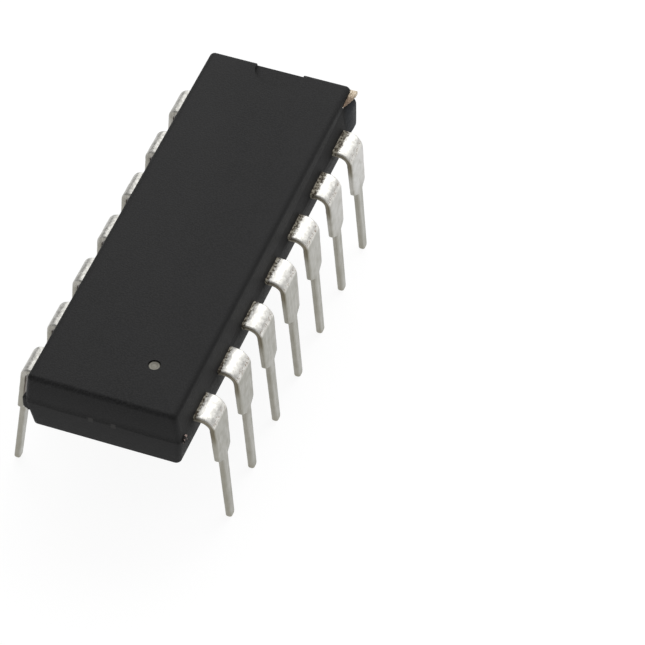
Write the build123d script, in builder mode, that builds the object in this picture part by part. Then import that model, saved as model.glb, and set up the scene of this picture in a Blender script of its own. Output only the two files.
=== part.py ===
"""A fourteen-lead through-hole chip in a moulded plastic case, standing on the tips of its leads.

The origin is under the middle of the case, level with the lead tips. X runs along the case,
with the notched end at -X. Y runs across it, from lead 1 to 7 (-Y) to lead 8 to 14 (+Y). Z is up.
"""

import math
import os

from build123d import *

# The lead frame, stamped from one strip of copper alloy
lead_count_per_side = 7
lead_pitch = 2.54
strip_thickness = 0.25
parting_height = 5.67

# The moulded case, which narrows from its parting line to its top and its bottom
case_end_past_last_lead = 2.03
case_width = 6.48
upper_half_height = 1.46
lower_half_height = 1.45
top_end_draft = 0.02
top_side_draft = 0.19
bottom_end_draft = 0.23
bottom_side_draft = 0.19
case_corner_radius = 0.20
top_edge_radius = 0.13
bottom_edge_radius = 0.10

# The shallow mould marks of the case
notch_radius = 1.05
notch_depth = 0.22
notch_inset = 0.10
dot_diameter = 0.50
dot_recess_depth = 0.08
dot_ink_thickness = 0.06
dot_from_near_end = 2.24
dot_from_centre_line = 1.29
ejector_mark_diameter = 1.60
ejector_mark_depth = 0.10
ejector_mark_spacing = 11.00

# The outer lead: shoulder, bend and leg
shoulder_width = 1.38
shoulder_reach = 0.80
bend_inner_radius = 0.25
leg_splay = 4.2
leg_width = 0.50
leg_tip_width = 0.44
step_height = 3.36
step_chamfer_height = 0.26
step_corner_radius = 0.10
tip_radius = 0.18
tip_edge_radius = 0.09

# Leads that were knocked: towards the dot end, or outwards, with the degrees of each leg
leaning_leads = {7: 2.8, 8: 2.2, 9: 1.2}
knocked_out_leads = {7: 2.6, 8: 0.8}

# The inner lead: a finger that runs from the root to the die paddle
finger_width = 0.36
finger_root_depth = 0.75
finger_root_overlap = 0.24
finger_straight = 0.35
finger_gap_to_paddle = 0.30
finger_fan_in = 0.42
end_finger_distance = 0.92
anchor_slot_length = 0.55
anchor_slot_width = 0.28

# The die paddle with its split tie bars
paddle_length = 4.60
paddle_width = 2.00
tie_bar_width = 0.20
tie_bar_pitch = 0.93

# The stubs of the strip's side rails, left in the corners when the strip was cut away
rail_stub_length = 0.25
rail_stub_depth = 0.60
rail_stub_from_end = 0.36
rail_stub_proud = 0.07

# The flash lump and the torn sliver of rail above it, in the far corner on the +Y side
lump_from_end = 0.14
lump_length = 0.95
lump_height = 1.75
lump_below_top = 0.42
lump_depth = 0.35
lump_proud = 0.13
lump_edge_radius = 0.10
sliver_from_end = 0.08
sliver_length = 1.08
sliver_thickness = 0.20
sliver_depth = 0.35
sliver_proud = 0.14
sliver_below_top = 0.18

# The die and what bonds it
die_length = 2.00
die_width = 1.50
die_thickness = 0.30
bond_line = 0.03
pad_inset = 0.12
wire_size = 0.04
wire_loop_height = 0.28
loop_knee_height = 0.19
loop_sag = 0.07
loop_top_share = 0.17
ball_radius = 0.05
ball_height = 0.03
ball_sides = 8
stitch_inset = 0.15
end_pad_row = 0.32

os.makedirs("parts", exist_ok=True)

row_half_length = lead_pitch * (lead_count_per_side - 1) / 2
case_length = 2 * (row_half_length + case_end_past_last_lead)
strip_top = parting_height + strip_thickness / 2
strip_bottom = parting_height - strip_thickness / 2
case_top = parting_height + upper_half_height
case_bottom = parting_height - lower_half_height
top_length = case_length - 2 * top_end_draft
top_width = case_width - 2 * top_side_draft
bottom_length = case_length - 2 * bottom_end_draft
bottom_width = case_width - 2 * bottom_side_draft
side_y = case_width / 2
root_y = side_y - finger_root_depth
paddle_end = paddle_length / 2
paddle_side = paddle_width / 2
die_seat = strip_top + bond_line
die_top = die_seat + die_thickness
strip_plane = Plane.XY.offset(strip_bottom)


def write(solid, name):
    """Label a finished piece and write it to its own file."""
    solid.label = name
    export_step(solid, f"parts/{name}.step")


def lead_side(number):
    """-1 for leads 1 to 7, +1 for the row that comes back along the other side."""
    return -1 if number <= lead_count_per_side else 1


def lead_x(number):
    """Where a lead leaves the case, counted round from the notched end."""
    if lead_side(number) < 0:
        return -row_half_length + (number - 1) * lead_pitch
    return row_half_length - (number - lead_count_per_side - 1) * lead_pitch


def is_end_lead(number):
    """True for the four leads beside the ends of the case."""
    return abs(lead_x(number)) > row_half_length - lead_pitch / 2


def finger_tip(number):
    """The inner end of a lead's finger, beside the paddle."""
    side = lead_side(number)
    x = lead_x(number)
    if is_end_lead(number):
        return (math.copysign(paddle_end + finger_gap_to_paddle, x), side * end_finger_distance)
    return (x * finger_fan_in, side * (paddle_side + finger_gap_to_paddle))


def finger_path(number):
    """The middle line of a finger, from its root to its tip."""
    side = lead_side(number)
    x = lead_x(number)
    tip_x, tip_y = finger_tip(number)
    if is_end_lead(number):
        return [(x, side * root_y), (x, tip_y), (tip_x, tip_y)]
    return [(x, side * root_y), (x, side * (root_y - finger_straight)), (tip_x, tip_y)]


def make_outer_lead(lean, splay_angle):
    """The part of a +Y lead from its root inside the case to its tip, with its leg leaning towards +X."""
    outer_radius = bend_inner_radius + strip_thickness
    turn = 90 - splay_angle
    bend_y = side_y + shoulder_reach - outer_radius * math.tan(math.radians(turn / 2))
    bend_z = strip_top - outer_radius
    splay = math.radians(splay_angle)
    outward = Vector(math.cos(splay), math.sin(splay))
    outer_start = Vector(bend_y, bend_z) + outward * outer_radius
    inner_start = Vector(bend_y, bend_z) + outward * bend_inner_radius
    tip_rise = tip_edge_radius * (1 - math.sin(splay))
    leg_length = tip_edge_radius + (inner_start.Y - tip_rise) / math.cos(splay)
    leg_run = Vector(math.sin(splay), -math.cos(splay)) * leg_length
    half_leg = leg_width / 2
    half_tip = leg_tip_width / 2
    half_shoulder = shoulder_width / 2
    step_top = step_height + step_chamfer_height
    slope = math.tan(math.radians(lean))
    widest = half_shoulder + strip_top * abs(slope)

    def leaned(x, height):
        """A point of the outline, moved over by the lean of the leg at its height."""
        return (x + slope * (bend_z - min(height, bend_z)), height)

    with BuildPart() as outer_lead:
        # the strip as seen along X: shoulder, bend and splayed leg with its tip rounded off
        with BuildSketch(Plane.YZ.offset(-widest)) as side_section:
            with BuildLine():
                Polyline((bend_y, strip_bottom), (root_y, strip_bottom), (root_y, strip_top), (bend_y, strip_top))
                CenterArc((bend_y, bend_z), outer_radius, splay_angle, turn)
                Polyline(outer_start, outer_start + leg_run, inner_start + leg_run, inner_start)
                CenterArc((bend_y, bend_z), bend_inner_radius, splay_angle, turn)
            make_face()
            fillet(side_section.vertices().sort_by(Axis.Y)[0:2], radius=tip_edge_radius)
        extrude(amount=2 * widest)
        # the strip as seen along Y: wide down to the step, then a narrow leg with a rounded tip
        with BuildSketch(Plane.XZ.offset(-case_width)) as outline:
            with BuildLine():
                Polyline(
                    (-half_shoulder, case_top),
                    (-half_shoulder, bend_z),
                    leaned(-half_shoulder, step_top),
                    leaned(-half_leg, step_height),
                    leaned(-half_tip, 0),
                    leaned(half_tip, 0),
                    leaned(half_leg, step_height),
                    leaned(half_shoulder, step_top),
                    (half_shoulder, bend_z),
                    (half_shoulder, case_top),
                    close=True,
                )
            make_face()
            fillet(outline.vertices().group_by(Axis.Y)[0], radius=tip_radius)
            step_corners = [v for v in outline.vertices() if step_height / 2 < v.Y < step_top + step_corner_radius]
            fillet(step_corners, radius=step_corner_radius)
        extrude(amount=case_width, mode=Mode.INTERSECT)
    return outer_lead.part


def make_finger(number):
    """The flat finger from the root to the paddle, without the slot that the moulding locks into."""
    root = (lead_x(number), lead_side(number) * root_y)
    with BuildPart() as finger:
        with BuildSketch(strip_plane):
            with BuildLine():
                Polyline(*finger_path(number))
            trace(line_width=finger_width)
            with Locations(root):
                Rectangle(shoulder_width, 2 * finger_root_overlap)
        extrude(amount=strip_thickness)
    return finger.part


def make_lead(number):
    """One whole lead: the bent outer part, and the finger inside the case."""
    turn = 0 if lead_side(number) > 0 else 180
    lean = lead_side(number) * leaning_leads.get(number, 0)
    outer_lead = make_outer_lead(lean, leg_splay + knocked_out_leads.get(number, 0))
    finger = make_finger(number)
    with BuildPart() as lead:
        with Locations(Location((lead_x(number), 0, 0), (0, 0, turn))):
            add(outer_lead)
        add(finger)
        with BuildSketch(strip_plane):
            with Locations((lead_x(number), lead_side(number) * root_y)):
                Rectangle(anchor_slot_length, anchor_slot_width)
        extrude(amount=strip_thickness, mode=Mode.SUBTRACT)
    return lead.part


def make_paddle():
    """The plate under the die, held in the strip by two thin bars at each end."""
    with BuildPart() as paddle:
        with BuildSketch(strip_plane):
            Rectangle(paddle_length, paddle_width)
            with GridLocations(0, tie_bar_pitch, 1, 2):
                Rectangle(case_length, tie_bar_width)
        extrude(amount=strip_thickness)
    return paddle.part


def make_rail_stub(end, side):
    """What is left of the strip's rail in one corner of the case, cut off almost flush."""
    centre_x = end * (case_length / 2 - rail_stub_from_end)
    centre_y = side * (side_y + (rail_stub_proud - rail_stub_depth) / 2)
    with BuildPart() as stub:
        with BuildSketch(strip_plane):
            with Locations((centre_x, centre_y)):
                Rectangle(rail_stub_length, rail_stub_depth + rail_stub_proud)
        extrude(amount=strip_thickness)
    return stub.part


def make_torn_sliver():
    """The sliver of rail in the far corner on the +Y side, wide at the end and torn to a point."""
    far_x = -case_length / 2 + sliver_from_end
    near_x = far_x + sliver_length
    inner_y = side_y - sliver_depth
    outer_y = side_y + sliver_proud
    narrowing = sliver_proud / 3
    with BuildPart() as sliver:
        with BuildSketch(Plane.XY.offset(case_top - sliver_below_top - sliver_thickness)):
            with BuildLine():
                Polyline(
                    (near_x - sliver_length / 3, inner_y),
                    (far_x, inner_y),
                    (far_x, outer_y - narrowing),
                    (far_x + narrowing, outer_y),
                    (far_x + sliver_length / 2, outer_y - narrowing),
                    (near_x, outer_y - narrowing),
                    (near_x - narrowing, outer_y - sliver_proud),
                    close=True,
                )
            make_face()
        extrude(amount=sliver_thickness)
    return sliver.part


def make_die():
    """The silicon die on the paddle."""
    with BuildPart() as die:
        with BuildSketch(Plane.XY.offset(die_seat)):
            Rectangle(die_length, die_width)
        extrude(amount=die_thickness)
    return die.part


def make_die_bond():
    """The thin layer of silver-filled glue between the paddle and the die."""
    with BuildPart() as die_bond:
        with BuildSketch(Plane.XY.offset(strip_top)):
            Rectangle(die_length, die_width)
        extrude(amount=bond_line)
    return die_bond.part


def pad_place(number):
    """The bonding pad on the die for one lead."""
    side = lead_side(number)
    reach_x = die_length / 2 - pad_inset
    reach_y = die_width / 2 - pad_inset
    x = lead_x(number)
    if is_end_lead(number):
        return (math.copysign(reach_x, x), side * end_pad_row)
    return (reach_x * x / row_half_length, side * reach_y)


def make_wire(number):
    """One bond wire: a ball on its pad, a loop, and a stitch on the finger."""
    pad = Vector(*pad_place(number), die_top)
    tip = Vector(*finger_tip(number), strip_top)
    start = Vector(pad.X, pad.Y, 0)
    run = Vector(tip.X, tip.Y, 0) - start
    length = run.length + stitch_inset
    sideways = run.cross(Vector(0, 0, 1)).normalized()
    loop_plane = Plane(origin=start - sideways * (wire_size / 2), x_dir=run, z_dir=sideways)
    top = die_top + wire_loop_height
    landing = strip_top + wire_size / 2
    with BuildPart() as wire:
        with BuildSketch(loop_plane):
            with BuildLine():
                Polyline(
                    (0, die_top + ball_height / 2),
                    (0, die_top + loop_knee_height),
                    (length * loop_top_share, top),
                    (length / 2, top - loop_sag),
                    (length - wire_size, landing),
                    (length, landing),
                )
            trace(line_width=wire_size)
        extrude(amount=wire_size)
        with BuildSketch(Plane.XY.offset(die_top)):
            with Locations((pad.X, pad.Y)):
                RegularPolygon(ball_radius, ball_sides)
        extrude(amount=ball_height)
    return wire.part


def make_flash_lump():
    """The lump of epoxy that leaked into the strip's corner, thickest at the end of the case."""
    far_x = -case_length / 2 + lump_from_end
    near_x = far_x + lump_length
    lump_top = case_top - lump_below_top
    with BuildPart() as lump:
        with BuildSketch(Plane.XY.offset(lump_top - lump_height)):
            with BuildLine():
                Polyline(
                    (far_x, side_y - lump_depth),
                    (far_x, side_y + lump_proud),
                    (far_x + lump_length / 2, side_y + lump_proud),
                    (near_x, side_y - top_side_draft),
                    (near_x, side_y - lump_depth),
                    close=True,
                )
            make_face()
        extrude(amount=lump_height)
        outer_edges = lump.edges().filter_by(lambda edge: edge.center().Y > side_y - lump_edge_radius)
        fillet(outer_edges, radius=lump_edge_radius)
    return lump.part


def make_case_blank():
    """The outside of the case, before the metal inside it is taken out."""
    with BuildPart() as blank:
        for height, length, width in (
            (case_top, top_length, top_width),
            (case_bottom, bottom_length, bottom_width),
        ):
            with BuildSketch(Plane.XY.offset(parting_height)):
                RectangleRounded(case_length, case_width, case_corner_radius)
            with BuildSketch(Plane.XY.offset(height)):
                RectangleRounded(length, width, case_corner_radius)
            loft()
        fillet(blank.faces().sort_by(Axis.Z)[-1].edges(), radius=top_edge_radius)
        fillet(blank.faces().sort_by(Axis.Z)[0].edges(), radius=bottom_edge_radius)
        add(make_flash_lump())
        with BuildSketch(Plane.XY.offset(case_top)):
            with Locations((-top_length / 2 + notch_inset, 0)):
                Circle(notch_radius)
        extrude(amount=-notch_depth, mode=Mode.SUBTRACT)
        with BuildSketch(Plane.XY.offset(case_top)):
            with Locations((case_length / 2 - dot_from_near_end, dot_from_centre_line)):
                Circle(dot_diameter / 2)
        extrude(amount=-dot_recess_depth, mode=Mode.SUBTRACT)
        with BuildSketch(Plane.XY.offset(case_bottom)):
            with GridLocations(ejector_mark_spacing, 0, 2, 1):
                Circle(ejector_mark_diameter / 2)
        extrude(amount=ejector_mark_depth, mode=Mode.SUBTRACT)
    return blank.part


def make_index_dot():
    """The spot of grey ink in its round recess, beside lead 8."""
    with BuildPart() as index_dot:
        with BuildSketch(Plane.XY.offset(case_top - dot_recess_depth)):
            with Locations((case_length / 2 - dot_from_near_end, dot_from_centre_line)):
                Circle(dot_diameter / 2)
        extrude(amount=dot_ink_thickness)
    return index_dot.part


inner_pieces = {}
for lead_number in range(1, 2 * lead_count_per_side + 1):
    inner_pieces[f"lead_{lead_number:02d}"] = make_lead(lead_number)
    inner_pieces[f"bond_wire_{lead_number:02d}"] = make_wire(lead_number)
inner_pieces["die_paddle"] = make_paddle()
inner_pieces["die_bond_layer"] = make_die_bond()
inner_pieces["silicon_die"] = make_die()
for end_name, end in (("far", -1), ("near", 1)):
    for side_name, side in (("left", -1), ("right", 1)):
        inner_pieces[f"rail_stub_{end_name}_{side_name}"] = make_rail_stub(end, side)
inner_pieces["torn_rail_sliver"] = make_torn_sliver()

case_blank = make_case_blank()
with BuildPart() as moulded_case:
    add(case_blank)
    add(list(inner_pieces.values()), mode=Mode.SUBTRACT)

for piece_name, piece in inner_pieces.items():
    write(piece, piece_name)
write(make_index_dot(), "index_dot")
write(moulded_case.part, "moulded_case")
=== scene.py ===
"""The looks of a fourteen-lead chip in a moulded case, standing on the tips of its leads."""

import math

import bmesh
import bpy
from mathutils import Matrix, Vector


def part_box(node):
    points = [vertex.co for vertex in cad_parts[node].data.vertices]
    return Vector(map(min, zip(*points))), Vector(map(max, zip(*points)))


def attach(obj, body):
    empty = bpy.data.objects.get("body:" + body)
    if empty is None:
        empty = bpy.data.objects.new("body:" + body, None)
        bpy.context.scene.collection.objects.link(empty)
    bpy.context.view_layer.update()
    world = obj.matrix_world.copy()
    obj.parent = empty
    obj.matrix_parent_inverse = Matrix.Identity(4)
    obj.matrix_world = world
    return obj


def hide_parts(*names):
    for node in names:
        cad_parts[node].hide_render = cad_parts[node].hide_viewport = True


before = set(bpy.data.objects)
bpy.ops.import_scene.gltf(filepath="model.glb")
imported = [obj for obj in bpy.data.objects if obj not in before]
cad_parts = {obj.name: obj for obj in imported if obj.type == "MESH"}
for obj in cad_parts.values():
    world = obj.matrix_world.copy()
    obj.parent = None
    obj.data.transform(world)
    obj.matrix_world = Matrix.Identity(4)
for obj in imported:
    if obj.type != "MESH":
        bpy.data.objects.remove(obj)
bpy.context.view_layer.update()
mm = 0.001

# The camera stands off the near end, a little towards leads 8 to 14, and looks down on the top.
# Its place comes from the corners, roots and tips seen in the photograph.
image_size = 645
sensor_width = 36.0
focal_pixels = 3825.4
camera_distance = 156.02 * mm
camera_azimuth = math.radians(110.547)
camera_elevation = math.radians(47.359)
camera_roll = math.radians(-0.207)
camera_shift_right = 5.029 * mm
camera_shift_up = 1.020 * mm

view_level = Vector((math.cos(camera_azimuth), math.sin(camera_azimuth), 0))
view_forward = Vector((
    -math.sin(camera_azimuth) * math.cos(camera_elevation),
    math.cos(camera_azimuth) * math.cos(camera_elevation),
    -math.sin(camera_elevation),
))
view_rise = view_level.cross(view_forward)
view_right = view_level * math.cos(camera_roll) + view_rise * math.sin(camera_roll)
view_up = view_rise * math.cos(camera_roll) - view_level * math.sin(camera_roll)
camera_place = view_right * camera_shift_right + view_up * camera_shift_up - view_forward * camera_distance
camera_data = bpy.data.cameras.new("photo_camera")
camera_data.sensor_width = sensor_width
camera_data.lens = focal_pixels / image_size * sensor_width
camera_data.clip_start = camera_distance * 0.1
camera_data.clip_end = camera_distance * 40
camera = bpy.data.objects.new("photo_camera", camera_data)
camera.matrix_world = Matrix((
    (view_right.x, view_up.x, -view_forward.x, camera_place.x),
    (view_right.y, view_up.y, -view_forward.y, camera_place.y),
    (view_right.z, view_up.z, -view_forward.z, camera_place.z),
    (0, 0, 0, 1),
))
bpy.context.scene.collection.objects.link(camera)
bpy.context.scene.camera = camera
bpy.context.scene.view_settings.view_transform = "Standard"

# A soft box above and behind the far end, a lower one beyond the corner of lead 14, a faint one
# on the side of leads 8 to 14, and a pale room. Together they light an upward surface at a plain level.
room_strength = 0.50
soft_boxes = {
    "soft_box_far_end": {"place": (-0.17, -0.04, 0.16), "size": 0.30, "power": 0.39},
    "soft_box_low": {"place": (-0.20, 0.13, 0.14), "size": 0.20, "power": 0.12},
    "soft_box_side": {"place": (0.02, 0.24, 0.10), "size": 0.16, "power": 0.02},
}
world = bpy.data.worlds.new("pale_room")
world.use_nodes = True
room_light = world.node_tree.nodes["Background"]
room_light.inputs["Color"].default_value = (1, 1, 1, 1)
room_light.inputs["Strength"].default_value = room_strength
bpy.context.scene.world = world
for box_name, box in soft_boxes.items():
    lamp = bpy.data.lights.new(box_name, "AREA")
    lamp.shape = "SQUARE"
    lamp.size = box["size"]
    lamp.energy = box["power"]
    lamp_object = bpy.data.objects.new(box_name, lamp)
    lamp_object.location = box["place"]
    lamp_object.rotation_euler = (-Vector(box["place"])).to_track_quat("-Z", "Y").to_euler()
    bpy.context.scene.collection.objects.link(lamp_object)

# The floor is a flat sheet of white paper.
# To the camera and in reflections it is white, and it keeps a faint shadow of the chip.
floor_reach = 0.6
floor_albedo = 0.75
floor_glow = 0.90
floor_shadow_share = 0.15


def new_nodes(material_name):
    """A new material with only its output, and its node tree."""
    material = bpy.data.materials.new(material_name)
    material.use_nodes = True
    tree = material.node_tree
    tree.nodes.clear()
    tree.nodes.new("ShaderNodeOutputMaterial")
    return material, tree


def join(tree, socket, value):
    """Feeds an input with another node's output, or sets it to a plain value."""
    if isinstance(value, bpy.types.NodeSocket):
        tree.links.new(value, socket)
    else:
        socket.default_value = value


def combine(tree, operation, first, second=0.0, third=0.0):
    """One math node."""
    node = tree.nodes.new("ShaderNodeMath")
    node.operation = operation
    for socket, value in zip(node.inputs, (first, second, third)):
        join(tree, socket, value)
    return node.outputs[0]


floor_mesh = bpy.data.meshes.new("paper_floor")
floor_mesh.from_pydata(
    [(x * floor_reach, y * floor_reach, 0) for x, y in ((-1, -1), (1, -1), (1, 1), (-1, 1))],
    [],
    [(0, 1, 2, 3)],
)
floor = bpy.data.objects.new("paper_floor", floor_mesh)
bpy.context.scene.collection.objects.link(floor)
paper, tree = new_nodes("white_paper")
path = tree.nodes.new("ShaderNodeLightPath")
seen = combine(tree, "MAXIMUM", path.outputs["Is Camera Ray"], path.outputs["Is Glossy Ray"])
seen = combine(tree, "MAXIMUM", seen, path.outputs["Is Transmission Ray"])
lit_paper = tree.nodes.new("ShaderNodeBsdfDiffuse")
lit_paper.inputs["Color"].default_value = (floor_albedo, floor_albedo, floor_albedo, 1)
shadow_paper = tree.nodes.new("ShaderNodeBsdfDiffuse")
shadow_paper.inputs["Color"].default_value = (floor_shadow_share, floor_shadow_share, floor_shadow_share, 1)
glow = tree.nodes.new("ShaderNodeEmission")
glow.inputs["Strength"].default_value = floor_glow
seen_paper = tree.nodes.new("ShaderNodeAddShader")
tree.links.new(shadow_paper.outputs[0], seen_paper.inputs[0])
tree.links.new(glow.outputs[0], seen_paper.inputs[1])
paper_mix = tree.nodes.new("ShaderNodeMixShader")
tree.links.new(seen, paper_mix.inputs["Fac"])
tree.links.new(lit_paper.outputs[0], paper_mix.inputs[1])
tree.links.new(seen_paper.outputs[0], paper_mix.inputs[2])
tree.links.new(paper_mix.outputs[0], tree.nodes["Material Output"].inputs["Surface"])
floor_mesh.materials.append(paper)

# The case is black epoxy, moulded round the lead frame in two half moulds that meet at the leads.
# Its skin has a fine grain from the filler, and its edges are softly rounded. Where the moulds
# didn't close, epoxy leaked out: a lump of flash at the far right corner and a lip at the near left.
parting_height = 5.67 * mm
case_length = 19.30 * mm
case_width = 6.48 * mm
case_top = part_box("moulded_case")[1].z
case_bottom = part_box("moulded_case")[0].z
top_end_draft = 0.02 * mm
top_side_draft = 0.19 * mm
bottom_end_draft = 0.23 * mm
bottom_side_draft = 0.19 * mm
corner_radius = 0.22 * mm
top_edge_radius = 0.20 * mm
bottom_edge_radius = 0.10 * mm
corner_steps = 10
edge_steps = 6
notch_radius = 1.05 * mm
notch_depth = 0.22 * mm
notch_inset = 0.10 * mm
dot_centre = Vector((7.38, 1.29, 0)) * mm
dot_radius = 0.25 * mm
dot_recess_depth = 0.11 * mm
ejector_radius = 0.80 * mm
ejector_depth = 0.10 * mm
ejector_places = (-5.5 * mm, 5.5 * mm)
flashes = (
    {
        "end_x": -9.50 * mm, "inner_x": -8.40 * mm,
        "low": 4.96 * mm, "high": 6.76 * mm, "reach": 3.37 * mm, "side": 1,
    },
    {
        "end_x": 9.56 * mm, "inner_x": 9.05 * mm,
        "low": 5.15 * mm, "high": 5.85 * mm, "reach": 3.35 * mm, "side": -1,
    },
)
flash_depth = 0.30 * mm
flash_seat = 0.02 * mm
flash_foot_share = 0.20
flash_crest_share = 0.2
flash_full_share = 0.35
flash_end_share = 0.12
flash_levels = 18
flash_steps = 24
cutter_sides = 64
cutter_reach = 1 * mm
crisp_angle = math.radians(35)
epoxy_dark = (0.0085, 0.0085, 0.0087)
epoxy_light = (0.0110, 0.0110, 0.0112)
epoxy_grain = (0.022, 0.022, 0.0225)
epoxy_leaked = (0.022, 0.024, 0.027)
# painted shadow along the parting line
painted_seam_shadow = (0.003, 0.003, 0.003)
# painted shade on the rounded long top edges
painted_edge_shade = (0.001, 0.001, 0.001)
epoxy_roughness = (0.52, 0.68)
epoxy_specular = 0.16
grain_relief = 0.014 * mm
seam_wander = 0.16 * mm
seam_foot = (0.05 * mm, 0.10 * mm)
seam_fade = (0.12 * mm, 0.50 * mm)
seam_end_zone = (9.2 * mm, 9.5 * mm)
seam_share_at_sides = 0.2
long_edge_across = (2.76 * mm, 3.02 * mm)
long_edge_height = (6.60 * mm, 6.95 * mm)
long_edge_share = 0.42
leaked_along = (-8.7 * mm, -8.3 * mm)
leaked_across = (3.12 * mm, 3.24 * mm)


def rounded_outline(length, width, radius, height):
    """The points round a rectangle with round corners, at one height."""
    points = []
    for quarter in range(4):
        sign_x, sign_y = ((1, 1), (-1, 1), (-1, -1), (1, -1))[quarter]
        centre = Vector((sign_x * (length / 2 - radius), sign_y * (width / 2 - radius), height))
        for step in range(corner_steps + 1):
            angle = math.pi / 2 * (quarter + step / corner_steps)
            points.append(centre + Vector((math.cos(angle), math.sin(angle), 0)) * radius)
    return points


def skin_over(outlines):
    """A closed mesh over outlines of the same number of points, from the lowest to the highest."""
    shell = bmesh.new()
    rings = [[shell.verts.new(point) for point in outline] for outline in outlines]
    for lower, upper in zip(rings, rings[1:]):
        for index in range(len(lower)):
            following = (index + 1) % len(lower)
            shell.faces.new((lower[index], lower[following], upper[following], upper[index]))
    shell.faces.new(list(reversed(rings[0])))
    shell.faces.new(rings[-1])
    return shell


def new_piece(piece_name, shell):
    """A mesh object from a bmesh."""
    mesh = bpy.data.meshes.new(piece_name)
    shell.to_mesh(mesh)
    shell.free()
    piece = bpy.data.objects.new(piece_name, mesh)
    bpy.context.scene.collection.objects.link(piece)
    return piece


def applied(piece):
    """Turns the modifiers of a piece into plain mesh."""
    bpy.context.view_layer.update()
    evaluated = piece.evaluated_get(bpy.context.evaluated_depsgraph_get())
    piece.data = bpy.data.meshes.new_from_object(evaluated)
    piece.modifiers.clear()


def joined(piece, other, operation):
    """Adds another piece to this one, or cuts it away, and removes the other."""
    modifier = piece.modifiers.new("joined", "BOOLEAN")
    modifier.operation = operation
    modifier.solver = "EXACT"
    modifier.object = other
    applied(piece)
    bpy.data.objects.remove(other)


def carve(piece, centre, radius, depth):
    """Cuts a round recess into the top or, with a negative depth, the underside of a piece."""
    reach = cutter_reach if depth > 0 else -cutter_reach
    joined(piece, new_piece("cutter", skin_over([
        [
            Vector((centre.x + math.cos(turn) * radius, centre.y + math.sin(turn) * radius, height))
            for turn in (2 * math.pi * step / cutter_sides for step in range(cutter_sides))
        ]
        for height in sorted((centre.z - depth, centre.z + reach))
    ])), "DIFFERENCE")


def make_flash(end_x, inner_x, low, high, reach, side):
    """A smooth lump of epoxy on one side of the case, full at its end and fading along the side."""
    rings = []
    for level in range(flash_levels + 1):
        rise = level / flash_levels
        height = low + (high - low) * rise
        draft = top_side_draft if height > parting_height else bottom_side_draft
        drawn_in = draft * abs(height - parting_height) / (case_top - parting_height)
        skin = case_width / 2 - drawn_in - flash_seat
        swell = math.sin(math.pi / 2 * min(1.0, rise / flash_foot_share))
        swell *= math.sqrt(1 - max(0.0, (rise - (1 - flash_crest_share)) / flash_crest_share) ** 2)
        ring = [Vector((inner_x, side * (case_width / 2 - flash_depth), height))]
        for step in range(flash_steps + 1):
            share = 1 - step / flash_steps
            fall = math.cos(math.pi / 2 * max(0.0, (share - flash_full_share) / (1 - flash_full_share)))
            round_end = math.sqrt(1 - (1 - min(1.0, share / flash_end_share)) ** 2)
            ring.append(Vector((
                end_x + (inner_x - end_x) * share,
                side * (skin + swell * fall * round_end * (reach - skin)),
                height,
            )))
        ring.append(Vector((end_x, side * (case_width / 2 - flash_depth), height)))
        rings.append(ring)
    shell = skin_over(rings)
    bmesh.ops.recalc_face_normals(shell, faces=shell.faces)
    return new_piece("flash", shell)


outlines = []
for level, draft_x, draft_y, radius, sign in (
    (case_bottom, bottom_end_draft, bottom_side_draft, bottom_edge_radius, 1),
    (case_top, top_end_draft, top_side_draft, top_edge_radius, -1),
):
    steps = range(edge_steps, -1, -1) if sign > 0 else range(edge_steps + 1)
    for step in steps:
        angle = math.pi / 2 * step / edge_steps
        inset = radius * (1 - math.cos(angle))
        height = level + sign * radius * (1 - math.sin(angle))
        share = abs(level + sign * radius - parting_height) / abs(level - parting_height)
        outlines.append(rounded_outline(
            case_length - 2 * (draft_x * share + inset),
            case_width - 2 * (draft_y * share + inset),
            corner_radius - inset,
            height,
        ))
    if sign > 0:
        outlines.append(rounded_outline(case_length, case_width, corner_radius, parting_height))
case = new_piece("epoxy_case", skin_over(outlines))
for flash in flashes:
    joined(case, make_flash(**flash), "UNION")
notch_centre = Vector((-case_length / 2 + top_end_draft + notch_inset, 0, case_top))
carve(case, notch_centre, notch_radius, notch_depth)
carve(case, dot_centre + Vector((0, 0, case_top)), dot_radius, dot_recess_depth)
for place in ejector_places:
    carve(case, Vector((place, 0, case_bottom)), ejector_radius, -ejector_depth)
case.data.shade_smooth()
case.data.set_sharp_from_angle(angle=crisp_angle)


def noise(tree, coordinates, scale, detail=4.0, roughness=0.55, stretch=(1, 1, 1)):
    """Noise on the piece's own coordinates, given as so many cycles in a millimetre."""
    mapping = tree.nodes.new("ShaderNodeMapping")
    mapping.inputs["Scale"].default_value = [axis / mm for axis in stretch]
    tree.links.new(coordinates, mapping.inputs["Vector"])
    node = tree.nodes.new("ShaderNodeTexNoise")
    node.inputs["Scale"].default_value = scale
    node.inputs["Detail"].default_value = detail
    node.inputs["Roughness"].default_value = roughness
    tree.links.new(mapping.outputs[0], node.inputs["Vector"])
    return node.outputs["Fac"]


def spread(tree, value, low, high, to_low=0.0, to_high=1.0):
    """Stretches a value from one range to another, and holds it there."""
    node = tree.nodes.new("ShaderNodeMapRange")
    node.interpolation_type = "SMOOTHSTEP"
    for socket, amount in zip(node.inputs, (value, low, high, to_low, to_high)):
        join(tree, socket, amount)
    return node.outputs[0]


def blend_colours(tree, share, first, second):
    """Mixes two colours, each a triple or another node's colour."""
    node = tree.nodes.new("ShaderNodeMix")
    node.data_type = "RGBA"
    join(tree, node.inputs["Factor"], share)
    for socket, colour in ((node.inputs["A"], first), (node.inputs["B"], second)):
        join(tree, socket, colour if isinstance(colour, bpy.types.NodeSocket) else (*colour, 1))
    return node.outputs["Result"]


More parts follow.
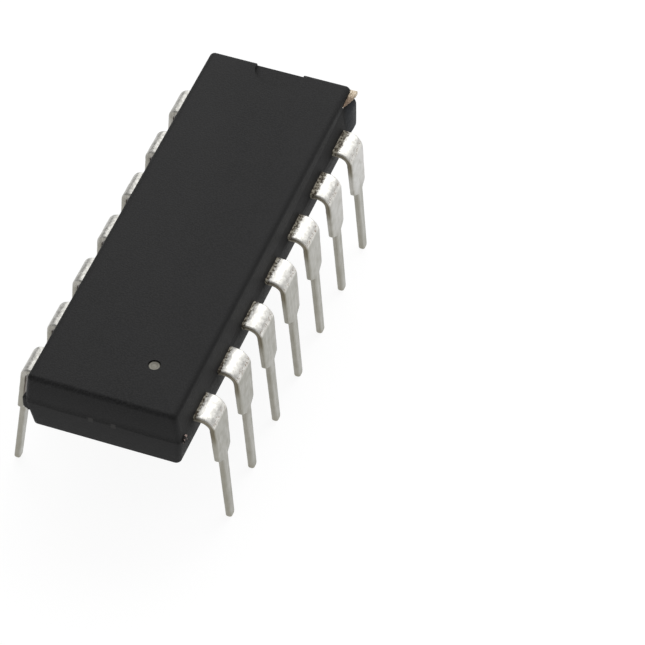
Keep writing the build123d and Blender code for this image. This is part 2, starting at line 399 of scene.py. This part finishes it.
def dressed(tree, colour, roughness, metallic=0.0, bump=None, bump_height=0.0, specular=0.5):
    """Ends a material in one shader, with relief of the given real height."""
    shader = tree.nodes.new("ShaderNodeBsdfPrincipled")
    join(tree, shader.inputs["Base Color"], colour)
    join(tree, shader.inputs["Roughness"], roughness)
    join(tree, shader.inputs["Metallic"], metallic)
    shader.inputs["Specular IOR Level"].default_value = specular
    if bump is not None:
        relief = tree.nodes.new("ShaderNodeBump")
        relief.inputs["Distance"].default_value = bump_height
        tree.links.new(bump, relief.inputs["Height"])
        tree.links.new(relief.outputs[0], shader.inputs["Normal"])
    tree.links.new(shader.outputs[0], tree.nodes["Material Output"].inputs["Surface"])


epoxy, tree = new_nodes("moulded_epoxy")
place = tree.nodes.new("ShaderNodeTexCoord").outputs["Object"]
height = tree.nodes.new("ShaderNodeSeparateXYZ")
tree.links.new(place, height.inputs[0])
grain = noise(tree, place, 14.0, detail=3.0)
cloud = noise(tree, place, 0.9, detail=3.0)
above_parting = combine(tree, "SUBTRACT", height.outputs["Z"], parting_height)
above_parting = combine(tree, "ADD", above_parting, combine(tree, "MULTIPLY", cloud, seam_wander))
# seam: a dark band just above the parting line, full on the ends of the case and faint on its sides:
# painted shadow
seam = combine(
    tree, "MULTIPLY",
    spread(tree, above_parting, *seam_foot), spread(tree, above_parting, *seam_fade, 1.0, 0.0),
)
along_case = combine(tree, "ABSOLUTE", height.outputs["X"])
seam = combine(tree, "MULTIPLY", seam, spread(tree, along_case, *seam_end_zone, seam_share_at_sides, 1.0))
shade = blend_colours(tree, spread(tree, cloud, 0.3, 0.7), epoxy_dark, epoxy_light)
shade = blend_colours(tree, spread(tree, grain, 0.40, 0.62), shade, epoxy_grain)
shade = blend_colours(tree, seam, shade, painted_seam_shadow)
from_middle = combine(tree, "ABSOLUTE", height.outputs["Y"])
# A darker band along the rounded long top edges: painted shade.
long_edge = combine(
    tree, "MULTIPLY",
    spread(tree, from_middle, *long_edge_across), spread(tree, height.outputs["Z"], *long_edge_height),
)
shade = blend_colours(tree, combine(tree, "MULTIPLY", long_edge, long_edge_share), shade, painted_edge_shade)
leaked = combine(
    tree, "MULTIPLY",
    spread(tree, height.outputs["X"], *leaked_along, 1.0, 0.0), spread(tree, from_middle, *leaked_across),
)
shade = blend_colours(tree, leaked, shade, epoxy_leaked)
rough = spread(tree, grain, 0.3, 0.7, *epoxy_roughness)
dressed(tree, shade, rough, bump=grain, bump_height=grain_relief, specular=epoxy_specular)
case.data.materials.clear()
case.data.materials.append(epoxy)
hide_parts("moulded_case")
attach(case, "root")

# The index dot is a drop of pale grey ink at the bottom of a round recess in the top.
# It stands a little higher at its rim, where the ink dried first.
dot_thickness = 0.05 * mm
dot_rim_share = 0.72
dot_dish = 0.012 * mm
dot_sides = 48
ink_dull = (0.225, 0.213, 0.18)
ink_pale = (0.31, 0.30, 0.255)
ink_ring = (0.15, 0.14, 0.12)
# painted shadow of the recess wall, at the edge of the ink
painted_rim_shadow = (0.03, 0.029, 0.026)
ring_inside = (0.08 * mm, 0.12 * mm)
ring_outside = (0.13 * mm, 0.17 * mm)
rim_zone = (0.19 * mm, 0.235 * mm)
ring_share = 0.5
ink_roughness = 0.7
ink_specular = 0.3
ink_relief = 0.01 * mm

ink_foot = case_top - dot_recess_depth
dot_profile = (
    (1.0, ink_foot),
    (1.0, ink_foot + dot_thickness * 0.75),
    (0.95, ink_foot + dot_thickness),
    (dot_rim_share, ink_foot + dot_thickness),
    (dot_rim_share - 0.12, ink_foot + dot_thickness - dot_dish),
    (0.2, ink_foot + dot_thickness - dot_dish),
)
dot = new_piece("ink_dot", skin_over([
    [
        dot_centre + Vector((math.cos(turn) * radius, math.sin(turn) * radius, level))
        for turn in (2 * math.pi * step / dot_sides for step in range(dot_sides))
    ]
    for radius, level in ((dot_radius * share, level) for share, level in dot_profile)
]))
dot.data.shade_smooth()
ink, tree = new_nodes("grey_ink")
place = tree.nodes.new("ShaderNodeTexCoord").outputs["Object"]
centred = tree.nodes.new("ShaderNodeMapping")
centred.inputs["Location"].default_value = (-dot_centre.x, -dot_centre.y, 0)
centred.inputs["Scale"].default_value = (1, 1, 0)
tree.links.new(place, centred.inputs["Vector"])
from_centre = tree.nodes.new("ShaderNodeVectorMath")
from_centre.operation = "LENGTH"
tree.links.new(centred.outputs[0], from_centre.inputs[0])
ring = combine(
    tree, "MULTIPLY",
    spread(tree, from_centre.outputs["Value"], *ring_inside),
    spread(tree, from_centre.outputs["Value"], *ring_outside, 1.0, 0.0),
)
blotch = noise(tree, place, 9.0)
shade = blend_colours(tree, spread(tree, blotch, 0.3, 0.7), ink_dull, ink_pale)
shade = blend_colours(tree, combine(tree, "MULTIPLY", ring, ring_share), shade, ink_ring)
# A dark ring at the edge of the ink: painted shadow of the recess wall.
shade = blend_colours(tree, spread(tree, from_centre.outputs["Value"], *rim_zone), shade, painted_rim_shadow)
dressed(tree, shade, ink_roughness, bump=blotch, bump_height=ink_relief, specular=ink_specular)
dot.data.materials.append(ink)
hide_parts("index_dot")
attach(dot, "root")

# The leads are stamped from one strip of copper alloy, tin plated, and bent down round a mandrel.
# Each is wide at the shoulder and steps down to a narrow leg with a rounded tip. Leads 7 to 9
# were knocked out of line. The left row was bent more sharply and closer to the case, and its
# shoulders are painted darker, as painted shade. Dirt sits where the leads leave the case; under
# the bends and on the faces turned to the case the leads are darkened with painted shade.
lead_count_per_side = 7
lead_pitch = 2.54 * mm
strip_thickness = 0.25 * mm
shoulder_width = 1.46 * mm
strip_height = 5.74 * mm
shoulder_reach = {1: 0.80 * mm, -1: 0.70 * mm}
waist_width = 1.20 * mm
leg_width = 0.52 * mm
leg_tip_width = 0.42 * mm
bend_inner_radius = {1: 0.40 * mm, -1: 0.20 * mm}
leg_splay = {1: math.radians(4.13), -1: math.radians(5.08)}
step_height = 3.30 * mm
step_rise = 0.30 * mm
tip_radius = 0.21 * mm
tip_edge_radius = 0.12 * mm
rolled_edge = 0.085 * mm
rolled_edge_most = 0.9
root_in_case = 0.30 * mm
lead_columns = 13
lead_stations = 300
station_crowding = 1.5
leaning_leads = {7: 2.8, 8: 2.2, 9: 1.2}
knocked_out_leads = {7: 2.6, 8: 0.8}
ripple_depth = 0.024 * mm
ripple_along = 0.6 / mm
ripple_across = 0.5 / mm
ripple_seed_step = 3.7
crisp_lead_angle = math.radians(50)
# The left row's shoulder colours (key -1) are darker than the right row's: painted shade, for that row
# faces away from the light.
shoulder_dull = {1: (0.60, 0.59, 0.56), -1: (0.36, 0.355, 0.33)}
shoulder_bright = {1: (0.80, 0.79, 0.75), -1: (0.56, 0.55, 0.52)}
leg_tin = (0.37, 0.365, 0.33)
# painted light: the upper legs are lighter towards the far end, where the soft boxes shine
far_leg_painted_light = (0.58, 0.575, 0.555)
leg_mottle = (0.30, 0.29, 0.24)
leg_streak = (0.52, 0.51, 0.48)
worn_tip = (0.26, 0.24, 0.18)
cut_metal = (0.24, 0.22, 0.17)
# painted shade on the cut sides under the bends
painted_shade_under_bend = (0.12, 0.10, 0.06)
# painted shade of the space between the leads and the case
painted_shade_inside = (0.05, 0.032, 0.02)
specks_on_bend = (0.22, 0.14, 0.08)
dirt_at_root = (0.06, 0.045, 0.03)
tin_at_root = (0.45, 0.42, 0.34)
# leg_zone: the lighter shoulder colours reach down over the bend above it, partly as a painted highlight
leg_zone = (5.32 * mm, 5.50 * mm)
far_leads_zone = (-8.0 * mm, -1.0 * mm)
upper_leg_zone = (3.2 * mm, 4.0 * mm)
under_bend_zone = (4.3 * mm, 5.1 * mm)
inside_zone = (3.6 * mm, 4.8 * mm)
root_zone = (3.54 * mm, 3.62 * mm)
root_wander = 0.50 * mm
wider_root_zone = (-8.0 * mm, 4.0 * mm)
wider_root = 0.14 * mm
bend_zone_out = (3.88 * mm, 4.02 * mm)
bend_zone_up = (5.36 * mm, 5.56 * mm)
tip_zone = (0.08 * mm, 0.40 * mm)
right_row_zone = (-1 * mm, 1 * mm)
facing_sideways = (0.55, 0.90)
facing_inwards = (-0.6, -0.2)
facing_down = (-0.8, -0.4)
mottle_share = 0.35
streak_share = 0.40
tip_wear_share = 0.45
cut_metal_share = 0.40
under_bend_share = 0.8
inside_share = 0.85
tin_roughness = (0.30, 0.40)
root_roughness = 0.2
root_dullness = 0.5
speck_relief = 0.6
plating_relief = 0.008 * mm


def make_lead_tree(finish):
    """The rule that bends a flat blank into a lead: shoulder, bend, stepped leg and rounded tip."""
    tree = bpy.data.node_groups.new("stamped_lead", "GeometryNodeTree")
    tree.interface.new_socket("Geometry", in_out="OUTPUT", socket_type="NodeSocketGeometry")
    for socket_name in (
        "Shoulder Width", "Waist Width", "Leg Width", "Thickness", "Length",
        "Bend Start", "Bend Radius", "Bend Turn",
        "Step Start", "Step End", "Tip Width", "Tip Radius", "Tip Edge Radius", "Rolled Edge",
        "Root Place", "Strip Height", "Row Place", "Lean", "Side", "Ripple", "Ripple Seed",
    ):
        tree.interface.new_socket(socket_name, in_out="INPUT", socket_type="NodeSocketFloat")
    given = tree.nodes.new("NodeGroupInput").outputs
    blank = tree.nodes.new("GeometryNodeMeshCube")
    size = tree.nodes.new("ShaderNodeCombineXYZ")
    tree.links.new(given["Shoulder Width"], size.inputs["X"])
    tree.links.new(given["Thickness"], size.inputs["Y"])
    tree.links.new(given["Length"], size.inputs["Z"])
    tree.links.new(size.outputs[0], blank.inputs["Size"])
    blank.inputs["Vertices X"].default_value = lead_columns
    blank.inputs["Vertices Y"].default_value = 2
    blank.inputs["Vertices Z"].default_value = lead_stations
    at = tree.nodes.new("ShaderNodeSeparateXYZ")
    tree.links.new(tree.nodes.new("GeometryNodeInputPosition").outputs[0], at.inputs[0])

    def m(operation, *values):
        return combine(tree, operation, *values)

    # the stations stand closer together towards the tip
    unspent = m("MAXIMUM", m("SUBTRACT", 0.5, m("DIVIDE", at.outputs["Z"], given["Length"])), 0.0)
    to_end = m("MULTIPLY", given["Length"], m("POWER", unspent, station_crowding))
    along = m("SUBTRACT", given["Length"], to_end)
    step_share = tree.nodes.new("ShaderNodeMapRange")
    step_share.interpolation_type = "SMOOTHSTEP"
    for socket, value in zip(
        step_share.inputs, (along, given["Step Start"], given["Step End"], 0.0, 1.0)
    ):
        join(tree, socket, value)
    waist_share = m("MINIMUM", m("DIVIDE", along, given["Step Start"]), 1.0)
    upper_width = m("SUBTRACT", given["Shoulder Width"], m(
        "MULTIPLY", waist_share, m("SUBTRACT", given["Shoulder Width"], given["Waist Width"])))
    stepped_width = m("SUBTRACT", upper_width, m(
        "MULTIPLY", step_share.outputs[0], m("SUBTRACT", given["Waist Width"], given["Leg Width"])))
    into_tip = m("MAXIMUM", m("SUBTRACT", given["Tip Radius"], to_end), 0.0)
    tip_chord = m("SQRT", m("MAXIMUM", m(
        "SUBTRACT", m("POWER", given["Tip Radius"], 2.0), m("POWER", into_tip, 2.0)), 0.0))
    tip_loss = m("MULTIPLY", m("SUBTRACT", given["Tip Radius"], tip_chord), 2.0)
    leg_share = m("DIVIDE", m("MAXIMUM", m("SUBTRACT", along, given["Step End"]), 0.0),
                  m("SUBTRACT", given["Length"], given["Step End"]))
    taper = m("MULTIPLY", leg_share, m("SUBTRACT", given["Leg Width"], given["Tip Width"]))
    width = m("SUBTRACT", m("SUBTRACT", stepped_width, taper), tip_loss)
    into_edge = m("MAXIMUM", m("SUBTRACT", given["Tip Edge Radius"], to_end), 0.0)
    edge_chord = m("SQRT", m("MAXIMUM", m(
        "SUBTRACT", m("POWER", given["Tip Edge Radius"], 2.0), m("POWER", into_edge, 2.0)), 0.0))
    edge_loss = m("MULTIPLY", m("SUBTRACT", given["Tip Edge Radius"], edge_chord), 2.0)
    half_thickness = m("MULTIPLY", m("SUBTRACT", given["Thickness"], edge_loss), 0.5)
    # the section is flat over half of the columns, and its edges are rolled over the other half
    half_width = m("MULTIPLY", width, 0.5)
    most_edge = m("MULTIPLY", m("MINIMUM", half_width, half_thickness), rolled_edge_most)
    edge = m("MINIMUM", given["Rolled Edge"], most_edge)
    column = m("ABSOLUTE", m("DIVIDE", at.outputs["X"], m("MULTIPLY", given["Shoulder Width"], 0.5)))
    roll = m("MULTIPLY", m("MAXIMUM", m("SUBTRACT", column, 0.5), 0.0), math.pi)
    flat = m("MULTIPLY", m("MULTIPLY", m("MINIMUM", column, 0.5), 2.0), m("SUBTRACT", half_width, edge))
    from_axis = m("ADD", flat, m("MULTIPLY", edge, m("SINE", roll)))
    across = m("MULTIPLY", m("SIGN", at.outputs["X"]), from_axis)
    skin = m("SUBTRACT", half_thickness, m("MULTIPLY", edge, m("SUBTRACT", 1.0, m("COSINE", roll))))
    in_bend = m("MAXIMUM", m("SUBTRACT", along, given["Bend Start"]), 0.0)
    angle = m("MINIMUM", m("DIVIDE", in_bend, given["Bend Radius"]), given["Bend Turn"])
    bend_length = m("MULTIPLY", given["Bend Radius"], given["Bend Turn"])
    in_leg = m("MAXIMUM", m("SUBTRACT", in_bend, bend_length), 0.0)
    in_shoulder = m("MINIMUM", along, given["Bend Start"])
    ripple_noise = tree.nodes.new("ShaderNodeTexNoise")
    ripple_noise.noise_dimensions = "2D"
    spot = tree.nodes.new("ShaderNodeCombineXYZ")
    tree.links.new(m("MULTIPLY", along, ripple_along), spot.inputs["X"])
    tree.links.new(m("ADD", m("MULTIPLY", across, ripple_across), given["Ripple Seed"]), spot.inputs["Y"])
    tree.links.new(spot.outputs[0], ripple_noise.inputs["Vector"])
    ripple = m("MULTIPLY", m("SUBTRACT", ripple_noise.outputs["Fac"], 0.5), given["Ripple"])
    ripple = m("MULTIPLY", ripple, m("DIVIDE", to_end, given["Length"]))
    off_middle = m("ADD", m("MULTIPLY", m("SIGN", at.outputs["Y"]), skin), ripple)
    radius_out = m("ADD", given["Bend Radius"], off_middle)
    out = m("ADD", m("ADD", given["Root Place"], in_shoulder), m("MULTIPLY", radius_out, m("SINE", angle)))
    out = m("ADD", out, m("MULTIPLY", in_leg, m("COSINE", angle)))
    drop = m("SUBTRACT", given["Bend Radius"], m("MULTIPLY", radius_out, m("COSINE", angle)))
    drop = m("ADD", drop, m("MULTIPLY", in_leg, m("SINE", angle)))
    level = m("SUBTRACT", given["Strip Height"], drop)
    below_bend = m("MAXIMUM", m("SUBTRACT", drop, given["Bend Radius"]), 0.0)
    sideways = m("ADD", across, m("MULTIPLY", below_bend, m("TANGENT", given["Lean"])))
    place = tree.nodes.new("ShaderNodeCombineXYZ")
    tree.links.new(m("ADD", m("MULTIPLY", sideways, given["Side"]), given["Row Place"]), place.inputs["X"])
    tree.links.new(m("MULTIPLY", out, given["Side"]), place.inputs["Y"])
    tree.links.new(level, place.inputs["Z"])
    bend = tree.nodes.new("GeometryNodeSetPosition")
    tree.links.new(blank.outputs["Mesh"], bend.inputs["Geometry"])
    tree.links.new(place.outputs[0], bend.inputs["Position"])
    real = tree.nodes.new("GeometryNodeRealizeInstances")
    tree.links.new(bend.outputs[0], real.inputs[0])
    plated = tree.nodes.new("GeometryNodeSetMaterial")
    plated.inputs["Material"].default_value = finish
    tree.links.new(real.outputs[0], plated.inputs["Geometry"])
    tree.links.new(plated.outputs[0], tree.nodes.new("NodeGroupOutput").inputs[0])
    return tree


tin, tree = new_nodes("tin_plate")
place = tree.nodes.new("ShaderNodeTexCoord").outputs["Object"]
axes = tree.nodes.new("ShaderNodeSeparateXYZ")
tree.links.new(place, axes.inputs[0])
facing = tree.nodes.new("ShaderNodeSeparateXYZ")
tree.links.new(tree.nodes.new("ShaderNodeNewGeometry").outputs["True Normal"], facing.inputs[0])
from_middle = combine(tree, "ABSOLUTE", axes.outputs["Y"])
streak = noise(tree, place, 7.0, detail=5.0, stretch=(1, 1, 0.10))
mottle = noise(tree, place, 2.4, detail=4.0)
speck = noise(tree, place, 9.0, detail=5.0, roughness=0.75)
# Above leg_zone the lead takes the lighter shoulder colours, down over the bend; below it the darker leg
# colours. This is a tin tone, and partly a painted highlight on the shoulders and bends.
on_leg = spread(tree, axes.outputs["Z"], *leg_zone, 1.0, 0.0)
# The upper legs of the leads at the far end are lightened: painted light, falling off towards the near end.
far_leg_light_mask = combine(
    tree, "MULTIPLY",
    spread(tree, axes.outputs["X"], *far_leads_zone, 1.0, 0.0),
    spread(tree, axes.outputs["Z"], *upper_leg_zone),
)
cut_side = spread(tree, combine(tree, "ABSOLUTE", facing.outputs["X"]), *facing_sideways)
# The cut sides of the right row under the bends are darkened: painted shade.
under_bend = combine(tree, "MULTIPLY", cut_side, spread(tree, axes.outputs["Z"], *under_bend_zone))
right_row = spread(tree, axes.outputs["Y"], *right_row_zone)
under_bend = combine(tree, "MULTIPLY", under_bend, right_row)
outward = combine(tree, "MULTIPLY", facing.outputs["Y"], combine(tree, "SIGN", axes.outputs["Y"]))
# Faces turned towards the case, and faces turned down, below the shoulders are darkened to dark brown:
# painted shade of the space between lead and case.
inside = combine(
    tree, "MAXIMUM",
    spread(tree, outward, *facing_inwards, 1.0, 0.0),
    spread(tree, facing.outputs["Z"], *facing_down, 1.0, 0.0),
)
inside = combine(tree, "MULTIPLY", inside, spread(tree, axes.outputs["Z"], *inside_zone))
from_root = combine(tree, "ADD", from_middle, combine(tree, "MULTIPLY", speck, root_wander))
from_root = combine(
    tree, "SUBTRACT", from_root, spread(tree, axes.outputs["X"], *wider_root_zone, wider_root, 0.0))
near_root = spread(tree, from_root, *root_zone, 1.0, 0.0)
outer_bend = combine(
    tree, "MULTIPLY",
    spread(tree, from_middle, *bend_zone_out), spread(tree, axes.outputs["Z"], *bend_zone_up),
)
outer_bend = combine(tree, "MULTIPLY", outer_bend, spread(tree, speck, 0.53, 0.60))
tip_wear = spread(tree, axes.outputs["Z"], *tip_zone, 1.0, 0.0)
# The left row's shoulders take the darker colours here: painted shade.
shade = blend_colours(
    tree, spread(tree, streak, 0.35, 0.65),
    blend_colours(tree, right_row, shoulder_dull[-1], shoulder_dull[1]),
    blend_colours(tree, right_row, shoulder_bright[-1], shoulder_bright[1]),
)
leg_shade = blend_colours(tree, far_leg_light_mask, leg_tin, far_leg_painted_light)
mottled = combine(tree, "MULTIPLY", spread(tree, mottle, 0.40, 0.65), mottle_share)
leg_shade = blend_colours(tree, mottled, leg_shade, leg_mottle)
streaked = combine(tree, "MULTIPLY", spread(tree, streak, 0.45, 0.65), streak_share)
leg_shade = blend_colours(tree, streaked, leg_shade, leg_streak)
shade = blend_colours(tree, on_leg, shade, leg_shade)
shade = blend_colours(tree, combine(tree, "MULTIPLY", tip_wear, tip_wear_share), shade, worn_tip)
shade = blend_colours(tree, combine(tree, "MULTIPLY", cut_side, cut_metal_share), shade, cut_metal)
shade = blend_colours(tree, combine(tree, "MULTIPLY", under_bend, under_bend_share), shade, painted_shade_under_bend)
shade = blend_colours(tree, combine(tree, "MULTIPLY", inside, inside_share), shade, painted_shade_inside)
shade = blend_colours(tree, outer_bend, shade, specks_on_bend)
root_shade = blend_colours(tree, spread(tree, speck, 0.45, 0.56), dirt_at_root, tin_at_root)
shade = blend_colours(tree, near_root, shade, root_shade)
rough = spread(tree, mottle, 0.3, 0.7, *tin_roughness)
rough = combine(tree, "ADD", rough, combine(tree, "MULTIPLY", near_root, root_roughness))
metal_share = combine(tree, "SUBTRACT", 1.0, combine(tree, "MULTIPLY", near_root, root_dullness))
relief_height = combine(tree, "ADD", streak, combine(tree, "MULTIPLY", speck, speck_relief))
dressed(tree, shade, rough, metallic=metal_share, bump=relief_height, bump_height=plating_relief)

lead_tree = make_lead_tree(tin)
lead_inputs = {
    item.name: item.identifier for item in lead_tree.interface.items_tree if item.in_out == "INPUT"
}
row_half_length = lead_pitch * (lead_count_per_side - 1) / 2
for number in range(1, 2 * lead_count_per_side + 1):
    side = -1 if number <= lead_count_per_side else 1
    count = (number - 1) % lead_count_per_side
    splay = leg_splay[side] + math.radians(knocked_out_leads.get(number, 0.0))
    bend_turn = math.pi / 2 - splay
    inner_radius = bend_inner_radius[side]
    bend_radius = inner_radius + strip_thickness / 2
    outer_radius = bend_radius + strip_thickness / 2
    bend_start = shoulder_reach[side] + root_in_case - outer_radius * math.tan(bend_turn / 2)
    bend_end = bend_start + bend_radius * bend_turn
    bend_foot = strip_height - bend_radius * (1 - math.cos(bend_turn))
    inner_foot = strip_height - bend_radius + inner_radius * math.sin(splay)
    leg_length = (inner_foot - tip_edge_radius * (1 - math.sin(splay))) / math.cos(splay) + tip_edge_radius
    step_start = bend_end + (bend_foot - step_height - step_rise) / math.cos(splay)
    lead = new_piece(f"plated_lead_{number:02d}", bmesh.new())
    rule = lead.modifiers.new("stamped", "NODES")
    rule.node_group = lead_tree
    for socket_name, value in {
        "Shoulder Width": shoulder_width,
        "Waist Width": waist_width,
        "Leg Width": leg_width,
        "Thickness": strip_thickness,
        "Length": bend_end + leg_length,
        "Bend Start": bend_start,
        "Bend Radius": bend_radius,
        "Bend Turn": bend_turn,
        "Step Start": step_start,
        "Step End": step_start + step_rise,
        "Tip Width": leg_tip_width,
        "Tip Radius": tip_radius,
        "Tip Edge Radius": tip_edge_radius,
        "Rolled Edge": rolled_edge,
        "Root Place": case_width / 2 - root_in_case,
        "Strip Height": strip_height,
        "Row Place": side * (row_half_length - count * lead_pitch),
        "Lean": side * math.radians(leaning_leads.get(number, 0.0)),
        "Side": float(side),
        "Ripple": ripple_depth,
        "Ripple Seed": ripple_seed_step * number,
    }.items():
        rule[lead_inputs[socket_name]] = value
    applied(lead)
    lead.data.shade_smooth()
    lead.data.set_sharp_from_angle(angle=crisp_lead_angle)
    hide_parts(f"lead_{number:02d}")
    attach(lead, "root")

# The sliver is what was torn from the strip's rail in the far corner: wide at the end of the case,
# and drawn out to a ragged point. The other stubs of the rails are cut off flush and smeared over.
sliver_far_x = -9.57 * mm
sliver_near_x = -8.49 * mm
sliver_top = 6.95 * mm
sliver_reach = 3.378 * mm
sliver_inner = 2.95 * mm
sliver_point = 3.10 * mm
sliver_thickness = 0.19 * mm
sliver_chamfer = 0.02 * mm
sliver_stations = 36
sliver_taper = 1.4
sliver_top_fall = 0.05 * mm
sliver_bottom_rise = 0.09 * mm
ragged_side = 0.035 * mm
ragged_top = 0.025 * mm
ragged_middle = 0.01 * mm
torn_pale = (0.55, 0.46, 0.34)
torn_brown = (0.27, 0.19, 0.13)
torn_crack = (0.10, 0.07, 0.05)
torn_glint = (0.86, 0.82, 0.76)
torn_roughness = (0.6, 0.35)
torn_metallic = 0.5
torn_relief = 0.05 * mm
drawn_out_zone = (-9.35 * mm, -9.0 * mm)
stub_black = (0.012, 0.011, 0.011)
stub_copper = (0.50, 0.38, 0.34)
stub_roughness = 0.6
stub_metallic = 0.2
stub_specular = 0.2
stub_relief = 0.02 * mm

sliver_rings = []
for station in range(sliver_stations + 1):
    share = station / sliver_stations
    ragged = 0.5 + 0.25 * math.sin(31 * share) + 0.25 * math.sin(57 * share + 1)
    outer = sliver_reach + (sliver_point - sliver_reach) * share ** sliver_taper - ragged_side * ragged
    top = sliver_top - sliver_top_fall * share - ragged_top * ragged * share
    bottom = sliver_top - sliver_thickness + sliver_bottom_rise * share ** 2
    x = sliver_far_x + (sliver_near_x - sliver_far_x) * share
    sliver_rings.append([
        Vector((x, y, z)) for y, z in (
            (sliver_inner, bottom), (outer - sliver_chamfer, bottom), (outer, bottom + sliver_chamfer),
            (outer, top - sliver_chamfer), (outer - sliver_chamfer, top),
            ((outer + sliver_inner) / 2, top - ragged_middle * ragged), (sliver_inner, top),
        )
    ])
sliver_shell = skin_over(sliver_rings)
bmesh.ops.recalc_face_normals(sliver_shell, faces=sliver_shell.faces)
sliver = new_piece("ragged_sliver", sliver_shell)
torn, tree = new_nodes("torn_copper")
place = tree.nodes.new("ShaderNodeTexCoord").outputs["Object"]
axes = tree.nodes.new("ShaderNodeSeparateXYZ")
tree.links.new(place, axes.inputs[0])
tear = noise(tree, place, 6.0, detail=5.0, roughness=0.7, stretch=(0.5, 1, 1))
drawn_out = spread(tree, axes.outputs["X"], *drawn_out_zone)
shade = blend_colours(tree, drawn_out, torn_pale, torn_brown)
shade = blend_colours(tree, spread(tree, tear, 0.42, 0.50, 0.7, 0.0), shade, torn_crack)
shade = blend_colours(tree, spread(tree, tear, 0.60, 0.66), shade, torn_glint)
rough = spread(tree, tear, 0.3, 0.7, *torn_roughness)
dressed(tree, shade, rough, metallic=torn_metallic, bump=tear, bump_height=torn_relief)
sliver.data.materials.append(torn)
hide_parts("torn_rail_sliver")
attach(sliver, "root")

smeared, tree = new_nodes("smeared_copper")
place = tree.nodes.new("ShaderNodeTexCoord").outputs["Object"]
tear = noise(tree, place, 7.0, detail=4.0, roughness=0.7)
shade = blend_colours(tree, spread(tree, tear, 0.54, 0.60), stub_black, stub_copper)
dressed(
    tree, shade, stub_roughness, metallic=stub_metallic,
    bump=tear, bump_height=stub_relief, specular=stub_specular,
)
for node_name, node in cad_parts.items():
    if node_name.startswith("rail_stub"):
        node.data.materials.clear()
        node.data.materials.append(smeared)

# Inside the case: the paddle of bare copper alloy, the die on its layer of silver glue,
# and the gold wires that join the die to the leads. The case hides them all, but for the dark
# cut ends of the paddle's bars.
inner_finishes = {
    "die_paddle": ("bare_copper_strip", (0.62, 0.40, 0.26), (0.52, 0.32, 0.20), 0.35, 1.0),
    "die_bond_layer": ("silver_glue", (0.45, 0.45, 0.44), (0.38, 0.38, 0.37), 0.5, 0.6),
    "silicon_die": ("polished_silicon", (0.10, 0.10, 0.13), (0.14, 0.13, 0.17), 0.15, 0.4),
    "bond_wire": ("gold_wire", (0.85, 0.62, 0.22), (0.75, 0.52, 0.16), 0.25, 1.0),
}
inner_specular = 0.2
inner_relief = 0.004 * mm
cut_end_zone = (9.4 * mm, 9.6 * mm)
cut_end_dark = (0.016, 0.015, 0.014)
for prefix, (finish_name, light, dark, roughness, metallic) in inner_finishes.items():
    finish, tree = new_nodes(finish_name)
    place = tree.nodes.new("ShaderNodeTexCoord").outputs["Object"]
    mark = noise(tree, place, 6.0)
    axes = tree.nodes.new("ShaderNodeSeparateXYZ")
    tree.links.new(place, axes.inputs[0])
    at_end = spread(tree, combine(tree, "ABSOLUTE", axes.outputs["X"]), *cut_end_zone)
    shade = blend_colours(tree, spread(tree, mark, 0.3, 0.7), dark, light)
    shade = blend_colours(tree, at_end, shade, cut_end_dark)
    shine = combine(tree, "MULTIPLY", combine(tree, "SUBTRACT", 1.0, at_end), metallic)
    dressed(
        tree, shade, roughness, metallic=shine,
        bump=mark, bump_height=inner_relief, specular=inner_specular,
    )
    for node_name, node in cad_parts.items():
        if node_name.startswith(prefix):
            node.data.materials.clear()
            node.data.materials.append(finish)
